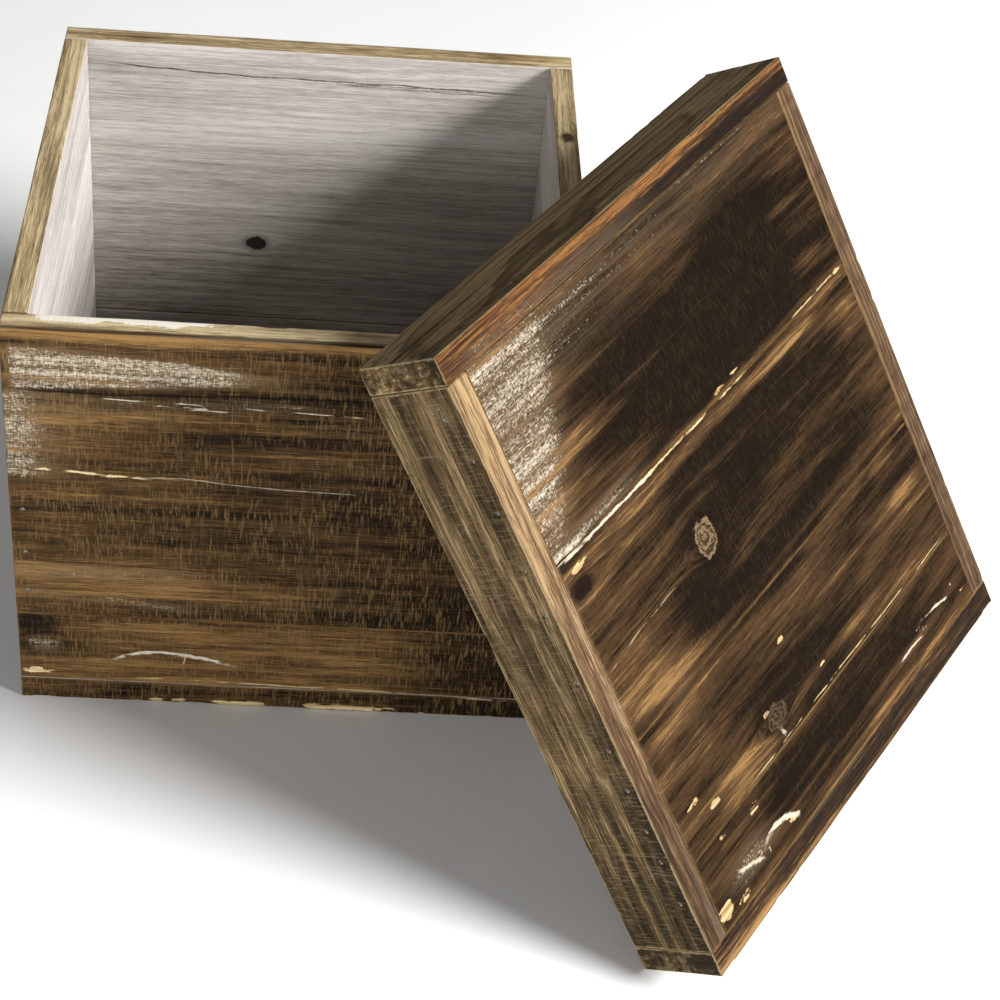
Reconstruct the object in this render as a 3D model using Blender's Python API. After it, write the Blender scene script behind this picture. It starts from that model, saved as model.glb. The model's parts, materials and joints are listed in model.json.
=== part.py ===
"""Lidded wooden box: an open-topped box of nailed boards, and its loose tray-shaped lid.

The box stands on the ground. The lid is off the box: its foot edge stands on the ground and the
underside of its panel leans on the box's front right top corner, which reaches into the lid's hollow.
The origin is the middle of the box's underside. +X is the box's right, +Y its back, +Z up.
"""
import math

import bmesh
import bpy
from mathutils import Matrix, Vector

# Box, metres
BOX_WIDTH = 0.250
BOX_DEPTH = 0.2425
BOX_HEIGHT = 0.222
WALL = 0.011
FLOOR = 0.013
WALL_SEAM_HEIGHT = 0.056
FLOOR_BOARDS = 3

# Lid, metres: length runs up the slope when it leans, width along its foot edge
LID_LENGTH = 0.302
LID_WIDTH = 0.286
LID_HEIGHT = 0.042
RAIL = 0.0125
PANEL = 0.011
PLANK_SEAMS = (0.050, 0.113, 0.199)

# How the lid leans: slope of its panel, turn of its foot edge from +X, and where along the
# lid's width (from its middle) the box's corner touches
LEAN = math.radians(56.0)
TURN = math.radians(56.0)
TOUCH_X = -0.045

# Nails
NAIL_LENGTH = 0.025
NAIL_HEAD_RADIUS = 0.0012
NAIL_HEAD_HEIGHT = 0.0008
NAIL_SHANK_RADIUS = 0.0007
NAIL_TIP_RADIUS = 0.0002
NAIL_TIP_LENGTH = 0.002
NAIL_SET = 0.0006
NAIL_SIDES = 8
FRONT_NAIL_HEIGHTS = (0.205, 0.195, 0.171, 0.120, 0.094, 0.070, 0.037)
BACK_NAIL_HEIGHTS = (0.195, 0.120, 0.037)
LID_LEFT_NAILS = (0.038, 0.060, 0.076, 0.097, 0.117, 0.151, 0.184, 0.205, 0.232, 0.256)
LID_TOP_NAILS = (0.025, 0.064, 0.097, 0.125, 0.166, 0.208, 0.245)
LID_CORNER_NAIL_HEIGHTS = (0.004, 0.011, 0.018, 0.030)

# Clearance between touching pieces, and the small flat on every board's edges
GAP = 0.0003
ARRIS = 0.0005

BOX_WOOD = (0.085, 0.047, 0.024)
FLOOR_WOOD = (0.30, 0.26, 0.21)
RAIL_WOOD = (0.14, 0.105, 0.065)
PANEL_WOOD = (0.095, 0.052, 0.026)
NAIL_STEEL = (0.05, 0.045, 0.04)


def clear_scene():
    for obj in list(bpy.data.objects):
        bpy.data.objects.remove(obj, do_unlink=True)


def material(name, colour, roughness, metallic=0.0):
    mat = bpy.data.materials.new(name)
    mat.use_nodes = True
    shader = mat.node_tree.nodes["Principled BSDF"]
    shader.inputs["Base Color"].default_value = (*colour, 1.0)
    shader.inputs["Roughness"].default_value = roughness
    shader.inputs["Metallic"].default_value = metallic
    return mat


def add_object(name, mesh, parent):
    obj = bpy.data.objects.new(name, mesh)
    obj.parent = parent
    bpy.context.collection.objects.link(obj)
    return obj


def add_board(name, low, high, colour, parent, cutter=None):
    """A straight board between two corners, its origin in its middle, with nail holes if a cutter is given."""
    low, high = Vector(low), Vector(high)
    bm = bmesh.new()
    bmesh.ops.create_cube(bm, size=1.0)
    bmesh.ops.scale(bm, vec=high - low, verts=bm.verts)
    mesh = bpy.data.meshes.new(name)
    bm.to_mesh(mesh)
    bm.free()
    board = add_object(name, mesh, parent)
    board.location = (low + high) / 2
    board.data.materials.append(material(f"{name}_wood", colour, 0.75))
    bevel = board.modifiers.new("arris", "BEVEL")
    bevel.width = ARRIS
    bevel.segments = 1
    if cutter:
        holes = board.modifiers.new("nail_holes", "BOOLEAN")
        holes.operation = "DIFFERENCE"
        holes.object = cutter
    return board


def add_turned(bm, rings, matrix=Matrix()):
    """Adds one closed turned body about local Z; rings are (radius, height), from the top down."""
    loops = []
    for radius, height in rings:
        angles = [2 * math.pi * i / NAIL_SIDES for i in range(NAIL_SIDES)]
        points = [Vector((radius * math.cos(a), radius * math.sin(a), height)) for a in angles]
        loops.append([bm.verts.new(matrix @ point) for point in points])
    bm.faces.new(loops[0])
    bm.faces.new(reversed(loops[-1]))
    for upper, lower in zip(loops, loops[1:]):
        for i in range(NAIL_SIDES):
            j = (i + 1) % NAIL_SIDES
            bm.faces.new((upper[i], lower[i], lower[j], upper[j]))


def nail_mesh():
    """A nail along -Z with the top of its head at the origin."""
    neck = -NAIL_HEAD_HEIGHT
    rings = (
        (NAIL_HEAD_RADIUS, 0.0),
        (NAIL_HEAD_RADIUS, neck),
        (NAIL_SHANK_RADIUS, neck),
        (NAIL_SHANK_RADIUS, NAIL_TIP_LENGTH - NAIL_LENGTH),
        (NAIL_TIP_RADIUS, -NAIL_LENGTH),
    )
    bm = bmesh.new()
    add_turned(bm, rings)
    mesh = bpy.data.meshes.new("nail")
    bm.to_mesh(mesh)
    bm.free()
    mesh.materials.append(material("nail_steel", NAIL_STEEL, 0.5, 0.8))
    return mesh


def add_hole_cutter(name, places, parent):
    """One hidden object that cuts a stepped hole round every nail, with the clearance gap all round."""
    neck = -NAIL_HEAD_HEIGHT - GAP
    rings = (
        (NAIL_HEAD_RADIUS + GAP, NAIL_SET + ARRIS),
        (NAIL_HEAD_RADIUS + GAP, neck),
        (NAIL_SHANK_RADIUS + GAP, neck),
        (NAIL_SHANK_RADIUS + GAP, -NAIL_LENGTH - GAP),
    )
    bm = bmesh.new()
    for place in places.values():
        add_turned(bm, rings, place)
    mesh = bpy.data.meshes.new(name)
    bm.to_mesh(mesh)
    bm.free()
    cutter = add_object(name, mesh, parent)
    cutter.hide_render = True
    cutter.display_type = "WIRE"
    return cutter


def add_nails(places, mesh, parent):
    for name, place in places.items():
        add_object(name, mesh, parent).matrix_basis = place


def nail_place(point, inward):
    """Where a nail goes: its head at the point, set a little below the surface, driven along inward."""
    inward = Vector(inward)
    turn = inward.to_track_quat("-Z", "Y").to_matrix().to_4x4()
    return Matrix.Translation(Vector(point) + inward * NAIL_SET) @ turn


def box_nail_places():
    """Nails through the ends of the front and back boards into the side boards' end grain."""
    rows = (
        ("front_left", -1, -1, FRONT_NAIL_HEIGHTS),
        ("front_right", 1, -1, FRONT_NAIL_HEIGHTS),
        ("back_left", -1, 1, BACK_NAIL_HEIGHTS),
        ("back_right", 1, 1, BACK_NAIL_HEIGHTS),
    )
    places = {}
    for corner, side, face, heights in rows:
        for number, height in enumerate(heights, 1):
            point = (side * (BOX_WIDTH - WALL) / 2, face * BOX_DEPTH / 2, height)
            places[f"{corner}_nail_{number}"] = nail_place(point, (0, -face, 0))
    return places


def lid_nail_places():
    """Nails through the lid's left and top rails, in the lid's own frame."""
    left, panel_middle = -LID_WIDTH / 2, LID_HEIGHT - PANEL / 2
    places = {}
    for number, up in enumerate(LID_LEFT_NAILS, 1):
        places[f"lid_left_nail_{number}"] = nail_place((left, up, panel_middle), (1, 0, 0))
    for number, along in enumerate(LID_TOP_NAILS, 1):
        places[f"lid_top_nail_{number}"] = nail_place((left + along, LID_LENGTH, panel_middle), (0, -1, 0))
    for number, height in enumerate(LID_CORNER_NAIL_HEIGHTS, 1):
        point = (left + RAIL / 2, LID_LENGTH, height)
        places[f"lid_corner_nail_{number}"] = nail_place(point, (0, -1, 0))
    return places


def build_walls(cutter):
    """Four walls of two boards each, standing on the floor; the side walls fit between the other two."""
    x, y = BOX_WIDTH / 2, BOX_DEPTH / 2
    inner_x, inner_y = x - WALL, y - WALL
    side_y = inner_y - GAP
    outlines = {
        "front": ((-x, -y), (x, -inner_y)),
        "back": ((-x, inner_y), (x, y)),
        "left": ((-x, -side_y), (-inner_x, side_y)),
        "right": ((inner_x, -side_y), (x, side_y)),
    }
    layers = {
        "lower": (FLOOR + GAP, WALL_SEAM_HEIGHT - GAP / 2),
        "upper": (WALL_SEAM_HEIGHT + GAP / 2, BOX_HEIGHT),
    }
    for wall, (low, high) in outlines.items():
        for layer, (bottom, top) in layers.items():
            name = f"{wall}_{layer}_board"
            add_board(name, (*low, bottom), (*high, top), BOX_WOOD, None, cutter)


def build_floor():
    """Floor boards side by side under the walls, out to the box's outer faces."""
    pitch = BOX_DEPTH / FLOOR_BOARDS
    for i in range(FLOOR_BOARDS):
        front = -BOX_DEPTH / 2 + i * pitch
        low = (-BOX_WIDTH / 2, front + (GAP / 2 if i else 0), 0)
        back = front + pitch - (GAP / 2 if i < FLOOR_BOARDS - 1 else 0)
        add_board(f"floor_board_{i + 1}", low, (BOX_WIDTH / 2, back, FLOOR), FLOOR_WOOD, None)


def lid_frame():
    """An empty in the middle of the lid's foot edge, turned so that the lid leans on the box's corner."""
    turn = Matrix.Rotation(TURN, 4, "Z") @ Matrix.Rotation(LEAN, 4, "X")
    corner = Vector((BOX_WIDTH / 2, -BOX_DEPTH / 2, BOX_HEIGHT))
    touch_z = LID_HEIGHT - PANEL - GAP
    touch_y = (corner.z - touch_z * math.cos(LEAN)) / math.sin(LEAN)
    foot = corner - turn @ Vector((TOUCH_X, touch_y, touch_z))
    frame = add_object("lid_frame", None, None)
    frame.matrix_basis = Matrix.Translation(foot) @ turn
    return frame


def build_rails(frame, cutter):
    """Two rails over the lid's full width, and two between them."""
    x = LID_WIDTH / 2
    inner_low, inner_high = RAIL + GAP, LID_LENGTH - RAIL - GAP
    outlines = {
        "lid_foot_rail": ((-x, 0), (x, RAIL)),
        "lid_top_rail": ((-x, LID_LENGTH - RAIL), (x, LID_LENGTH)),
        "lid_left_rail": ((-x, inner_low), (RAIL - x, inner_high)),
        "lid_right_rail": ((x - RAIL, inner_low), (x, inner_high)),
    }
    for name, (low, high) in outlines.items():
        add_board(name, (*low, 0), (*high, LID_HEIGHT), RAIL_WOOD, frame, cutter)


def build_planks(frame, cutter):
    """The lid's panel: planks across its width, set between the rails and flush with their top edges."""
    x = LID_WIDTH / 2 - RAIL - GAP
    ends = (RAIL + GAP / 2, *PLANK_SEAMS, LID_LENGTH - RAIL - GAP / 2)
    for i, (low, high) in enumerate(zip(ends, ends[1:]), 1):
        corner_low = (-x, low + GAP / 2, LID_HEIGHT - PANEL)
        corner_high = (x, high - GAP / 2, LID_HEIGHT)
        add_board(f"lid_plank_{i}", corner_low, corner_high, PANEL_WOOD, frame, cutter)


def main():
    clear_scene()
    nail = nail_mesh()
    box_nails, lid_nails = box_nail_places(), lid_nail_places()
    build_walls(add_hole_cutter("box_nail_holes", box_nails, None))
    build_floor()
    add_nails(box_nails, nail, None)
    frame = lid_frame()
    lid_holes = add_hole_cutter("lid_nail_holes", lid_nails, frame)
    build_rails(frame, lid_holes)
    build_planks(frame, lid_holes)
    add_nails(lid_nails, nail, frame)


main()
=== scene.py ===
import itertools
import json
import math

import bpy
import numpy as np
from mathutils import Matrix, Vector


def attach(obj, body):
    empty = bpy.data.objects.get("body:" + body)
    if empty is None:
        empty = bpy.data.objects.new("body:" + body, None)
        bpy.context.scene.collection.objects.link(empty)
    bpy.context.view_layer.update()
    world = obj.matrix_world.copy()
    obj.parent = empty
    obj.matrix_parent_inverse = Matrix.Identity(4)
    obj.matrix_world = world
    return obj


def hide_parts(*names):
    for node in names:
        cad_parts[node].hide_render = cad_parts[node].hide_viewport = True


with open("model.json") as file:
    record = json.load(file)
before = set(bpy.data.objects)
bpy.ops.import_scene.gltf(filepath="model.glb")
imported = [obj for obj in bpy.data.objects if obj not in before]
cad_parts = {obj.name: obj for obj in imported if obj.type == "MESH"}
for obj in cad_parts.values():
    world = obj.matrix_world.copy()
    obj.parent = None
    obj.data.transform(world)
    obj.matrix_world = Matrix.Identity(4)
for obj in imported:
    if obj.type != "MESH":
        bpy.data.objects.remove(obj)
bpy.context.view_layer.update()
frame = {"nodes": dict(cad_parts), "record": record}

MM = 0.001

# How the lid leans on the box, as the design has it
LID_LEAN = math.radians(56.0)
LID_TURN = math.radians(56.0)

# Spacing of the boards' mesh lines, along and across the grain
ALONG_STEP = 3.0 * MM
ACROSS_STEP = 1.6 * MM
EDGE_LINES = (0.0, 0.35 * MM, 0.8 * MM, 1.4 * MM, 2.3 * MM)
EDGE_ZONE = 3.6 * MM
FINE_STEP = 0.7 * MM
LEAST_GAP = 0.12 * MM
CLEAR_OF_DENT = 0.35 * MM

# Worn edges: their usual and largest radius
EDGE_RADIUS = 0.55 * MM
LARGEST_RADIUS = 2.2 * MM

# The dent that each nail is set in, in millimetres: its floor, its lip, its depth and its mesh lines
DENT_FLOOR = 1.1
DENT_LIP = 1.6
DENT_DEPTH = 0.85
DENT_LINES = (-2.2, -1.6, -1.1, -0.5, 0.5, 1.1, 1.6, 2.2)

# Nails: their measures, and how far below the wood they are set
NAIL_SIDES = 20
NAIL_HEAD_RADIUS = 1.2 * MM
NAIL_HEAD_HEIGHT = 0.8 * MM
NAIL_SHANK_RADIUS = 0.7 * MM
NAIL_LENGTH = 25.0 * MM
NAIL_SET = 0.6 * MM

AXES = np.eye(3)
MARK_KINDS = ("crack", "scar", "cream")


# -------- numbers and noise


def smooth(low, high, values):
    """0 below low, 1 above high, and a smooth rise between; a low above high gives a fall instead."""
    t = np.clip((values - low) / (high - low), 0.0, 1.0)
    return t * t * (3.0 - 2.0 * t)


def lattice(cell, seed):
    """A repeatable value from 0 to 1 for each whole-numbered cell, by an integer hash."""
    cell = cell.astype(np.int64)
    mixed = (cell[:, 0] * 73856093) ^ (cell[:, 1] * 19349663) ^ (cell[:, 2] * 83492791) ^ (seed * 2654435761)
    mixed = ((mixed ^ (mixed >> 13)) * 1274126177) & 0x7FFFFFFF
    return ((mixed ^ (mixed >> 16)) & 0xFFFFFF) / 0xFFFFFF


def noise(points, size, seed):
    """Smooth noise from -1 to 1 at each point, its features about size wide along each axis."""
    scaled = points / np.asarray(size)
    cell = np.floor(scaled)
    t = scaled - cell
    t = t * t * (3.0 - 2.0 * t)
    total = np.zeros(len(points))
    for corner in itertools.product((0, 1), repeat=3):
        weight = np.prod(np.where(np.array(corner) == 1, t, 1.0 - t), axis=1)
        total += weight * lattice(cell + np.array(corner), seed)
    return total * 2.0 - 1.0


def flat_noise(a, b, size, seed):
    """noise over a surface's two coordinates."""
    points = np.stack((a, b, np.full_like(a, 0.37)), axis=1)
    return noise(points, (*size, 1.0), seed)


def spot(a, b, centre, radii, soft=0.5):
    """1 inside an ellipse, falling to 0 over its outer part."""
    distance = np.hypot((a - centre[0]) / radii[0], (b - centre[1]) / radii[1])
    return 1.0 - smooth(1.0 - soft, 1.0, distance)


def between(values, low, high, soft):
    """1 between low and high, with soft ends."""
    return smooth(low - soft, low + soft, values) * (1.0 - smooth(high - soft, high + soft, values))


def strongest(*masks):
    """The highest of several masks at each point."""
    return np.maximum.reduce(masks)


# -------- places


def node_points(node, turn):
    """A CAD node's vertices, turned or moved by a matrix."""
    return np.array([turn @ v.co for v in frame["nodes"][node].data.vertices])


def lid_place():
    """The lid's own frame: X along its foot edge from the middle, Y up its slope, Z out of its panel."""
    rotation = Matrix.Rotation(LID_TURN, 3, "Z") @ Matrix.Rotation(LID_LEAN, 3, "X")
    boards = [n for n in frame["record"]["behaviour"]["bodies"]["lid"] if "nail" not in n]
    points = np.vstack([node_points(n, rotation.inverted()) for n in boards])
    low, high = points.min(axis=0), points.max(axis=0)
    middle = Vector(((low[0] + high[0]) / 2, low[1], low[2]))
    return Matrix.Translation(rotation @ middle) @ rotation.to_4x4(), high - low


LID_PLACE, LID_SIZE = lid_place()
PLACES = {"box": Matrix.Identity(4), "lid": LID_PLACE}


def local_box(node, body):
    """A CAD node's lowest and highest corners in its body's own frame."""
    points = node_points(node, PLACES[body].inverted())
    return points.min(axis=0), points.max(axis=0)


# The box's and the lid's main measures, in millimetres
X_LOW = local_box("left_lower_board", "box")[0][0] / MM
Y_LOW = local_box("front_lower_board", "box")[0][1] / MM
X_HIGH = local_box("right_upper_board", "box")[1][0] / MM
BACK_BOARD = [corner / MM for corner in local_box("back_upper_board", "box")]
BACK_INNER = BACK_BOARD[0][1]
Y_HIGH, Z_HIGH = BACK_BOARD[1][1:]
WALL = Y_HIGH - BACK_INNER
HALF_LID = LID_SIZE[0] / 2 / MM
LID_LENGTH, LID_HEIGHT = LID_SIZE[1:] / MM


def placed(name, data, matrix):
    """A new object with its data, standing where a matrix says."""
    thing = bpy.data.objects.new(name, data)
    thing.matrix_world = matrix
    bpy.context.scene.collection.objects.link(thing)
    return thing


# -------- marks on the surfaces
# Everything here is in millimetres, in a surface's two coordinates a and b.


class Line:
    """A crack, scar or worn streak: a polyline on a surface, thin at its ends."""

    def __init__(self, kind, points, half_width, strength=1.0, wobble=0.0, depth=0.0):
        self.kind, self.strength, self.depth, self.half_width = kind, strength, depth, half_width
        ends = np.array(points, float)
        lengths = np.hypot(*(ends[1:] - ends[:-1]).T)
        travelled = np.concatenate(((0.0,), np.cumsum(lengths)))
        count = max(8, int(travelled[-1] / 4.0))
        at = np.linspace(0.0, travelled[-1], count)
        self.points = np.stack([np.interp(at, travelled, ends[:, k]) for k in (0, 1)], axis=1)
        row = self.points[0, 1] * 0.09
        self.points[:, 1] += wobble * flat_noise(at, at * 0 + row, (14, 1), 5)

    def measure(self, a, b):
        """Signed distance over the half width, how strong the line is there, and the plain distance."""
        points = np.stack((a, b), axis=1)
        nearest = np.full(len(a), np.inf)
        signed = np.zeros(len(a))
        along = np.zeros(len(a))
        count = len(self.points) - 1
        for i, (start, end) in enumerate(zip(self.points, self.points[1:])):
            run = end - start
            t = np.clip((points - start) @ run / (run @ run), 0.0, 1.0)
            offset = points - start - t[:, None] * run
            distance = np.hypot(*offset.T)
            side = np.sign(run[0] * offset[:, 1] - run[1] * offset[:, 0])
            closer = distance < nearest
            nearest = np.where(closer, distance, nearest)
            signed = np.where(closer, np.where(side < 0, -distance, distance), signed)
            along = np.where(closer, (i + t) / count, along)
        near = smooth(5.0, 3.5, nearest - self.half_width)
        ends = smooth(0.0, 0.12, along) * smooth(1.0, 0.88, along)
        return signed / self.half_width, near * self.strength * ends, nearest


class Surface:
    """One flat face of the box or lid, square to an axis: two axes on it, its finish, paint and marks.

    paint gives three masks at each point: how scorched, how whitewashed and how worn bare the wood is. On
    the box's front and inside walls the first also holds painted shade, and on the lid's top rail painted
    light.
    knots are (centre a, centre b, radius a, radius b, tone), tone 0 for a dark knot and 1 for a light one.
    """

    def __init__(self, axes, offset, finish, paint, seed, lines=(), knots=()):
        across, up = ("xyz".index(letter) for letter in axes)
        self.across, self.up = AXES[across], AXES[up]
        self.origin = AXES[3 - across - up] * offset * MM
        self.finish, self.paint, self.seed, self.lines, self.knots = finish, paint, seed, lines, knots
        self.nails = []

    def coordinates(self, points):
        offset = (points - self.origin) / MM
        return offset @ self.across, offset @ self.up

    def point(self, place):
        return self.origin + (place[0] * self.across + place[1] * self.up) * MM


def paint_plain(a, b, seed):
    """Even wood with a little drift in how much stain it took."""
    return 0.5 + 0.25 * flat_noise(a, b, (80, 14), seed), 0.0, 0.0


def paint_scorched(a, b, seed):
    """A scorched, brushed and dry-whitewashed outside face, with no special marks."""
    char = 0.62 + 0.22 * flat_noise(a, b, (90, 12), seed) + 0.12 * flat_noise(a, b, (30, 4), seed + 1)
    white = 0.42 * smooth(150, 212, b) * smooth(0.0, 0.5, flat_noise(a, b, (90, 16), seed + 2))
    worn = 0.5 * smooth(7, 2, b) * smooth(-0.1, 0.5, flat_noise(a, b, (40, 1000), seed + 3))
    return char, white, worn


def paint_front(a, b, seed):
    """The box's front, with the photo's larger marks and a painted shadow of the lid towards its right end.
    """
    char = 0.62 + 0.20 * flat_noise(a, b, (90, 11), seed) + 0.18 * flat_noise(a, b, (26, 4), seed + 1)
    # darker towards the right end, where the lid leans: painted shadow of the lid
    char += 0.44 * smooth(-10, 125, a)
    brush = 190.5 + 1.5 * np.sin(a * 0.03)
    char += 0.42 * between(b, brush - 2, brush + 2.5, 2) * between(a, -112, 60, 20)
    char -= 0.38 * between(b, 66, 88, 4) * smooth(20, -80, a)
    char -= 0.20 * between(b, 150, 172, 6) * smooth(-40, -100, a)
    char -= 0.30 * between(b, 14, 53, 6) * between(a, -100, 60, 20)
    char += 0.28 * between(b, 196, 216, 2) * smooth(-20, 40, a)
    char -= 0.62 * smooth(216.0, 218.5, b) * (1.0 - 0.5 * smooth(20, 100, a))
    char -= 0.30 * between(b, 10, 18, 3) * smooth(-90, -30, a)
    char += 0.42 * spot(a, b, (-116, 49), (13, 11))
    char += 0.25 * between(b, 2, 10, 2) * between(a, -85, -45, 8)
    # the whitewash: a wedge below the top edge, then the left end, and smaller patches
    wedge_low = np.interp(a, (-125, 0), (189, 198))
    wedge_high = np.interp(a, (-125, -50, 0), (214.5, 209, 201.5))
    smear_middle = np.interp(a, (-125, -87, -45), (70, 67.5, 62.5))
    smear = smooth(4.2, 1, np.abs(b - smear_middle)) * smooth(-30, -55, a)
    white = strongest(
        0.80 * between(b, wedge_low, wedge_high, 1.8) * smooth(-125.5, -119, a) * smooth(12, -35, a),
        0.74 * smooth(-90, -120, a) * between(b, 139, 190, 3),
        0.36 * smooth(-30, -70, a) * between(b, 176, 189, 3),
        0.44 * spot(a, b, (-18, 187), (36, 4.5)),
        0.55 * spot(a, b, (-113, 37), (11, 7)),
        0.42 * between(b, 79, 88.5, 1.2) * smooth(-20, -60, a),
        (0.42 + 0.25 * spot(a, b, (-70, 65), (26, 9))) * smear,
    )
    # bare wood rubbed through along the bottom edge and at the lower left corner
    broken = smooth(-0.65, 0.05, flat_noise(a, b, (20, 1000), seed + 2))
    worn = strongest(
        0.90 * smooth(5.5, 2.5, b) * broken * smooth(100, 40, a),
        0.85 * spot(a, b, (-117, 18), (13, 3)),
        0.42 * spot(a, b, (45, 9), (26, 3)),
        0.40 * between(b, 12, 16.5, 1.5) * between(a, -50, 90, 20),
        0.55 * spot(a, b, (-120, 143.5), (10, 3)),
    )
    return char, white, worn


def paint_panel(a, b, seed):
    """The lid's panel, with the photo's larger marks."""
    char = 0.66 + 0.34 * flat_noise(a, b, (60, 8), seed) + 0.20 * flat_noise(a, b, (30, 3.5), seed + 1)
    char += 0.22 * smooth(199, 205, b) * smooth(-115, -60, a)
    char += 0.27 * between(b, 118, 188, 8) * between(a, -60, 110, 20)
    char += 0.36 * between(b, 205, 262, 8) * between(a, -50, 95, 22)
    char += 0.22 * between(b, 20, 75, 8) * between(a, -70, 20, 15)
    char -= 0.25 * between(b, 206, 232, 6) * smooth(-50, -110, a)
    lighter = (
        (0.30, (-118, 190), (24, 6), 0.5),
        (0.36, (-100, 125), (46, 36), 0.9),
        (0.30, (-75, 62), (40, 20), 0.9),
    )
    right_streaks = ((103, 217), (116, 184), (102, 110), (108, 88), (95, 245))
    lighter += tuple((0.32, centre, (22, 7), 0.8) for centre in right_streaks)
    for strength, centre, radii, soft in lighter:
        char -= strength * spot(a, b, centre, radii, soft)
    # whitewash over the upper left end and along the top rail, fading towards the right
    left_low = np.interp(b, (195, 290), (-127, -85))
    left_high = np.interp(b, (195, 290), (-112, -50))
    top_strength = np.interp(a, (-130, -50, 50, 130), (0.76, 0.50, 0.38, 0.40))
    white = strongest(
        0.73 * smooth(left_high, left_low, a) * smooth(193, 205, b),
        top_strength * smooth(np.interp(a, (-130, 0, 130), (236, 255, 272)), 283, b),
        0.66 * between(b, 199.5, 206.5, 1.5) * smooth(-45, -85, a),
        0.62 * spot(a, b, (-98, 27), (30, 12), 0.8),
        0.14 * spot(a, b, (-95, 110), (12, 34), 0.8),
        0.95 * spot(a, b, (-127, 200.5), (30, 3.6)),
        0.55 * smooth(-128.0, -130.5, a),
    )
    # bare wood where the scorching has flaked away: centres and radii
    flakes = (
        (-103, 61.5, 8, 4), (-82, 42.5, 9, 5.5), (-124, 19.5, 11, 8), (-110, 16.5, 12, 4),
        (-108, 47, 7, 3), (-116, 70, 10, 3), (114, 28, 4, 3.5), (122, 21, 6, 2.5),
        (-50, 69, 7, 4), (8, 201.5, 12, 2), (22, 203, 8, 1.8), (122, 200.5, 7, 2),
        (-21, 89, 6, 2.5), (0, 62, 6, 2.5), (-119, 192, 13, 3.5), (-60, 21, 10, 3),
    )
    worn = strongest(*(0.80 * spot(a, b, flake[:2], flake[2:], 0.7) for flake in flakes))
    return np.maximum(char, 0.22), white, worn


def paint_rail(a, b, seed):
    """A weathered outer rail face: silvery grain, with darker bands across it."""
    char = 0.40 + 0.22 * flat_noise(a, b, (60, 9), seed) + 0.16 * flat_noise(a, b, (18, 60), seed + 1)
    return char + 0.22 * smooth(26, 40, b), 0.12, 0.0


def paint_left_rail(a, b, seed):
    char, white, worn = paint_rail(a, b, seed)
    char += 0.12 + 0.30 * smooth(100, 10, a) - 0.14 * between(a, 110, 210, 30)
    return char, np.maximum(white, 0.55 * spot(a, b, (279, 30), (14, 17), 0.8)), worn


def paint_top_rail_with_light(a, b, seed):
    """The lid's top rail: long silvery streaks, a dark one along its middle and a dark band by the panel;
    the face is lightened as painted light.
    """
    # the low base char lightens this face, which turns away from the key light: painted light
    char = -0.14 + 0.34 * flat_noise(a, b, (150, 3.5), seed)
    return char + 0.42 * between(b, 17.5, 19.5, 1.5) + 0.36 * smooth(27, 34, b), 0.26, 0.0


def paint_strip(a, b, seed):
    return 0.25 + 0.22 * flat_noise(a, b, (50, 3), seed), 0.0, 0.0


def paint_left_strip(a, b, seed):
    """The lid's left rail from above: bare wood, chalky along its inner edge."""
    char = 0.12 + 0.16 * flat_noise(a, b, (3, 60), seed) + 0.62 * smooth(270, 30, b)
    chips = smooth(-0.2, 0.4, flat_noise(a, b, (1000, 22), seed + 1))
    return char, 0.75 * smooth(6.5, 9.5, a + HALF_LID) * chips, 0.0


def paint_top_strip(a, b, seed):
    """The lid's top rail from above: orange wood, scorched along its inner edge."""
    char = 0.10 + 0.20 * smooth(-60, 100, a) + 0.20 * flat_noise(a, b, (60, 3), seed)
    inner = smooth(4.5, 7.5, LID_LENGTH - b)
    white = 0.50 * inner * smooth(30, -30, a) * smooth(-143, -120, a)
    return char + inner * (0.30 + 0.50 * smooth(-90, 0, a)), white, 0.0


def paint_foot_strip(a, b, seed):
    char = 0.80 + 0.20 * flat_noise(a, b, (40, 3), seed)
    char -= 0.55 * smooth(-70, -100, a) * (1.0 - 0.5 * smooth(5, 9, b))
    char -= 0.45 * smooth(4, 1.5, b) * smooth(80, 20, a)
    return char, 0.2 * spot(a, b, (-30, 12), (50, 2)), 0.0


def paint_rim(a, b, seed):
    char = 0.30 + 0.30 * flat_noise(a, b, (45, 20), seed)
    return char, 0.26 + 0.26 * flat_noise(a, b, (30, 9), seed + 1), 0.0


def paint_front_rim(a, b, seed):
    """Pale flakes along the inner half of the front edge, and a dark scorched line along the outer one."""
    char, white, worn = paint_rim(a, b, seed)
    depth = b - Y_LOW
    reach = WALL - 4 + 1.5 * np.sin(a * 0.26) * np.sin(a * 0.097)
    flakes = smooth(-0.6, 0.6, depth - reach) * between(a, -112, -35, 6)
    return char + 1.4 * smooth(3.0, 1.2, depth), np.maximum(white, 1.4 * flakes), worn


def paint_inside_with_shade(a, b, seed):
    """Pale whitewashed inside face, darker towards the bottom as painted shade; the stain has run over its
    top edge.
    """
    # the char rises towards the bottom of the wall: painted shade inside the box
    char = 0.26 + 0.25 * flat_noise(a, b, (90, 16), seed) + 0.40 * smooth(170, 20, b)
    return char, 0.0, 0.55 * smooth(-3.5, -1, b - Z_HIGH)


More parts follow.
